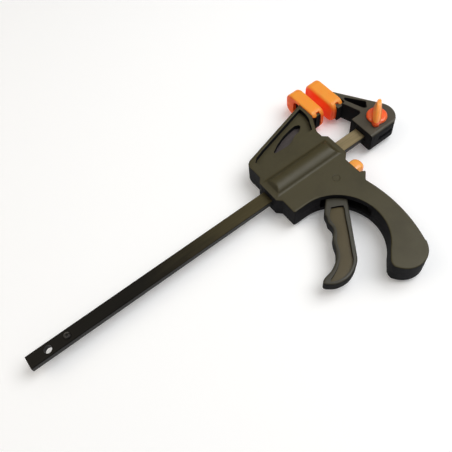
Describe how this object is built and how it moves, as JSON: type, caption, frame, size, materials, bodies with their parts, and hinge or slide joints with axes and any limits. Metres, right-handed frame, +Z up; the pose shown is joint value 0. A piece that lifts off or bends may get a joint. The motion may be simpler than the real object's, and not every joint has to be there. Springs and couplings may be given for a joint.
{
  "type": "quick release bar clamp",
  "caption": "One-handed bar clamp: a sliding jaw with grip, squeeze trigger and release button rides a flat bar toward a screwed-on fixed jaw; soft pads.",
  "frame": {"origin": "on the surface that the clamp lies on, under the middle of its bounding box", "axes": "+X along the bar from its tail to the fixed jaw, +Y from the bar toward the pads, +Z up out of the clamp's side face"},
  "size_m": [0.3098, 0.1666, 0.0367],
  "materials": {
    "bar_steel": "black oxide on flat drawn steel, oiled, with a brown sheen",
    "pin_steel": "dark spring steel",
    "jaw_plastic": "fine moulded grain, black",
    "housing_plastic": "fine moulded grain, black with a warm cast",
    "trigger_plastic": "fine moulded grain, black",
    "pad_rubber": "soft orange elastomer, satin",
    "orange_plastic": "moulded orange plastic, satin",
    "zinc_steel": "bright zinc plate",
    "plate_steel": "punched hardened steel plate",
    "spring_steel": "drawn spring wire"
  },
  "bodies": {
    "bar": {"bar": "bar_steel", "stop_pin": "pin_steel", "fixed_jaw": "jaw_plastic", "fixed_pad": "pad_rubber", "lock_nut": "zinc_steel"},
    "housing": {"left_shell": "housing_plastic", "right_shell": "housing_plastic", "shell_screws": "zinc_steel", "moving_pad": "pad_rubber", "trigger_pin": "pin_steel", "drive_spring": "spring_steel", "brake_spring": "spring_steel"},
    "trigger": {"trigger": "trigger_plastic"},
    "drive": {"drive_plate_front": "plate_steel", "drive_plate_rear": "plate_steel"},
    "brake": {"brake_plate": "plate_steel", "release_button": "orange_plastic"},
    "lock_screw": {"lock_screw": "zinc_steel"},
    "lock_knob": {"lock_knob": "orange_plastic"}
  },
  "joints": [
    {"name": "jaw_slide", "type": "slide", "parent": "bar", "child": "housing", "axis": [1, 0, 0], "range_m": [-0.1605, 0.0054]},
    {"name": "trigger_pivot", "type": "hinge", "parent": "housing", "child": "trigger", "pos_m": [0.0801, -0.0004, 0.0126], "axis": [0, 0, 1], "range_deg": [0, 17.5], "stiffness_Nm_per_rad": 0.3, "springref_deg": -14.32},
    {"name": "drive_slide", "type": "slide", "parent": "housing", "child": "drive", "axis": [-1, 0, 0], "range_m": [0, 0.0039], "deforming": ["drive_spring"]},
    {"name": "release_pivot", "type": "hinge", "parent": "housing", "child": "brake", "pos_m": [0.0877, 0.0326, 0.0126], "axis": [0, 0, -1], "range_deg": [0, 6], "stiffness_Nm_per_rad": 0.6, "springref_deg": -14.32, "deforming": ["brake_spring"]},
    {"name": "lock_rise", "type": "slide", "parent": "bar", "child": "lock_screw", "axis": [0, 0, 1], "range_m": [0, 0.001]},
    {"name": "lock_turn", "type": "hinge", "parent": "lock_screw", "child": "lock_knob", "pos_m": [0.1403, 0.0216, 0.0126], "axis": [0, 0, 1], "range_deg": [0, 450]}
  ],
  "couplings": [
    {"joint": "drive_slide", "follows": "trigger_pivot", "m_per_rad": 0.0125},
    {"joint": "lock_turn", "follows": "lock_rise", "rad_per_m": 7854}
  ]
}
